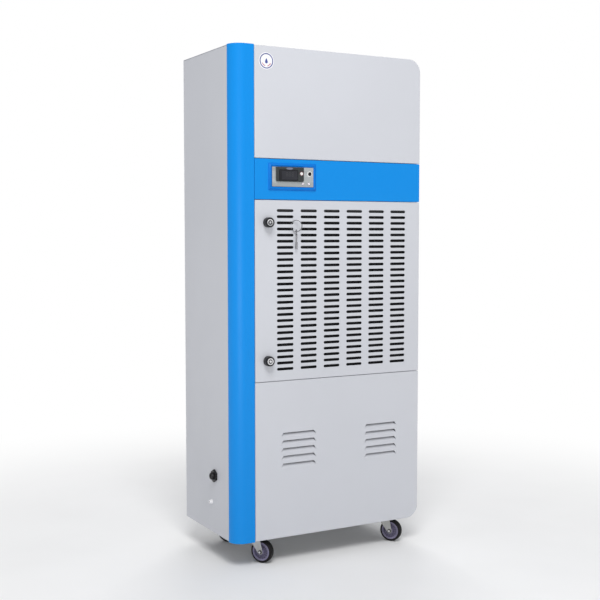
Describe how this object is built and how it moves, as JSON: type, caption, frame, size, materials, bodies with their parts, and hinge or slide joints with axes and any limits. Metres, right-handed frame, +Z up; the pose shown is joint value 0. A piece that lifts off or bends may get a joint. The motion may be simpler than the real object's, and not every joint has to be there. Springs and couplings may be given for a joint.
{
  "type": "dehumidifier",
  "caption": "Tall commercial cabinet dehumidifier on swivel castors: slotted filter door with cam locks, control unit in a band, round corner column, louvred base, blower, coils and compressor.",
  "frame": {"origin": "middle of the bounding box, on the floor under the castors", "axes": "+Z up; -Y out of the front, where the door is; +X to the right of someone facing the front"},
  "size_m": [0.717, 0.412, 1.65],
  "materials": {
    "grey_paint": "fine satin powder coat, pale grey",
    "blue_paint": "smooth satin paint, bright blue",
    "zinc_plated_steel": "zinc-plated or galvanised sheet, dull",
    "brushed_plate": "brushed silver plate",
    "black_plastic": "moulded, fine grain",
    "white_plastic": "moulded, semi-gloss",
    "display_lens": "glossy tinted window",
    "lamp_lens": "pale frosted lens",
    "bright_metal": "polished nickel plating",
    "black_enamel": "semi-gloss black enamel",
    "copper_tube": "drawn copper tube, bright",
    "aluminium_fins": "mill-finish fins",
    "filter_mesh": "dark woven mesh in a plain frame",
    "black_rubber": "matt rubber",
    "castor_rubber": "solid black tread on a grey-violet hub"
  },
  "bodies": {
    "cabinet": {"base_pan": "zinc_plated_steel", "blower_housing": "zinc_plated_steel", "blower_motor": "black_enamel", "cable_gland": "black_plastic", "compressor": "black_enamel", "condenser": "aluminium_fins", "control_band": "blue_paint", "control_bezel": "blue_paint", "control_plate": "brushed_plate", "controller_housing": "black_plastic", "discharge_pipe": "copper_tube", "display_window": "display_lens", "door_seal": "black_rubber", "drain_hose": "black_rubber", "drain_spout": "white_plastic", "drip_tray": "zinc_plated_steel", "electrical_box": "zinc_plated_steel", "evaporator": "aluminium_fins", "fan_deck": "zinc_plated_steel", "front_column": "blue_paint", "front_frame": "zinc_plated_steel", "front_left_castor_plate": "zinc_plated_steel", "front_right_castor_plate": "zinc_plated_steel", "left_side_panel": "grey_paint", "liquid_line": "copper_tube", "lower_front_panel": "grey_paint", "lower_hinge_bracket": "zinc_plated_steel", "outlet_grille": "grey_paint", "power_lamp": "lamp_lens", "rear_left_castor_plate": "zinc_plated_steel", "rear_panel": "grey_paint", "rear_right_castor_plate": "zinc_plated_steel", "right_shell": "grey_paint", "run_lamp": "lamp_lens", "suction_pipe": "copper_tube", "upper_front_panel": "grey_paint", "upper_hinge_bracket": "zinc_plated_steel"},
    "door": {"service_door": "grey_paint", "upper_lock_barrel": "black_plastic", "lower_lock_barrel": "black_plastic"},
    "upper_lock": {"upper_lock_cam": "bright_metal"},
    "lower_lock": {"lower_lock_cam": "bright_metal"},
    "filter": {"air_filter": "filter_mesh"},
    "key_ring_body": {"key_ring": "bright_metal"},
    "key_body": {"door_key": "bright_metal"},
    "set_button_body": {"set_button": "white_plastic"},
    "power_button_body": {"power_button": "black_plastic"},
    "impeller_body": {"impeller": "zinc_plated_steel"},
    "front_left_swivel": {"front_left_castor_fork": "zinc_plated_steel", "front_left_castor_axle": "bright_metal"},
    "front_left_wheel_body": {"front_left_wheel": "castor_rubber"},
    "front_right_swivel": {"front_right_castor_fork": "zinc_plated_steel", "front_right_castor_axle": "bright_metal"},
    "front_right_wheel_body": {"front_right_wheel": "castor_rubber"},
    "rear_left_swivel": {"rear_left_castor_fork": "zinc_plated_steel", "rear_left_castor_axle": "bright_metal"},
    "rear_left_wheel_body": {"rear_left_wheel": "castor_rubber"},
    "rear_right_swivel": {"rear_right_castor_fork": "zinc_plated_steel", "rear_right_castor_axle": "bright_metal"},
    "rear_right_wheel_body": {"rear_right_wheel": "castor_rubber"}
  },
  "joints": [
    {"name": "door_hinge", "type": "hinge", "parent": "cabinet", "child": "door", "pos_m": [0.3495, -0.176, 0.594], "axis": [0, 0, 1], "range_deg": [0, 105]},
    {"name": "upper_lock_turn", "type": "hinge", "parent": "door", "child": "upper_lock", "pos_m": [-0.2235, -0.1595, 1.099], "axis": [0, 1, 0], "range_deg": [0, 90]},
    {"name": "lower_lock_turn", "type": "hinge", "parent": "door", "child": "lower_lock", "pos_m": [-0.2235, -0.1595, 0.661], "axis": [0, 1, 0], "range_deg": [0, 90]},
    {"name": "filter_lift", "type": "slide", "parent": "door", "child": "filter", "axis": [0, 0, 1], "range_m": [0, 0.01]},
    {"name": "key_ring_swing", "type": "hinge", "parent": "door", "child": "key_ring_body", "pos_m": [-0.1345, -0.18325, 1.08832], "axis": [0, 0, 1], "range_deg": [-50, 0]},
    {"name": "key_swing", "type": "hinge", "parent": "key_ring_body", "child": "key_body", "pos_m": [-0.12358, -0.19241, 1.07032], "axis": [0.766, -0.6428, 0], "range_deg": [-75, 2]},
    {"name": "set_button_press", "type": "slide", "parent": "cabinet", "child": "set_button_body", "axis": [0, 1, 0], "range_m": [0, 0.001], "stiffness_N_per_m": 400},
    {"name": "power_button_press", "type": "slide", "parent": "cabinet", "child": "power_button_body", "axis": [0, 1, 0], "range_m": [0, 0.0018], "stiffness_N_per_m": 400},
    {"name": "impeller_spin", "type": "hinge", "parent": "cabinet", "child": "impeller_body", "pos_m": [-0.0975, 0.001, 1.34], "axis": [1, 0, 0], "continuous": true},
    {"name": "front_left_castor_swivel", "type": "hinge", "parent": "cabinet", "child": "front_left_swivel", "pos_m": [-0.2415, -0.121, 0.0922], "axis": [0, 0, 1], "continuous": true},
    {"name": "front_left_wheel_spin", "type": "hinge", "parent": "front_left_swivel", "child": "front_left_wheel_body", "pos_m": [-0.22412, -0.14545, 0.0375], "axis": [0.8151, 0.5793, 0], "continuous": true},
    {"name": "front_right_castor_swivel", "type": "hinge", "parent": "cabinet", "child": "front_right_swivel", "pos_m": [0.2585, -0.121, 0.0922], "axis": [0, 0, 1], "continuous": true},
    {"name": "front_right_wheel_spin", "type": "hinge", "parent": "front_right_swivel", "child": "front_right_wheel_body", "pos_m": [0.27588, -0.14545, 0.0375], "axis": [0.8151, 0.5793, 0], "continuous": true},
    {"name": "rear_left_castor_swivel", "type": "hinge", "parent": "cabinet", "child": "rear_left_swivel", "pos_m": [-0.2415, 0.143, 0.0922], "axis": [0, 0, 1], "continuous": true},
    {"name": "rear_left_wheel_spin", "type": "hinge", "parent": "rear_left_swivel", "child": "rear_left_wheel_body", "pos_m": [-0.22412, 0.11855, 0.0375], "axis": [0.8151, 0.5793, 0], "continuous": true},
    {"name": "rear_right_castor_swivel", "type": "hinge", "parent": "cabinet", "child": "rear_right_swivel", "pos_m": [0.2585, 0.143, 0.0922], "axis": [0, 0, 1], "continuous": true},
    {"name": "rear_right_wheel_spin", "type": "hinge", "parent": "rear_right_swivel", "child": "rear_right_wheel_body", "pos_m": [0.27588, 0.11855, 0.0375], "axis": [0.8151, 0.5793, 0], "continuous": true}
  ]
}
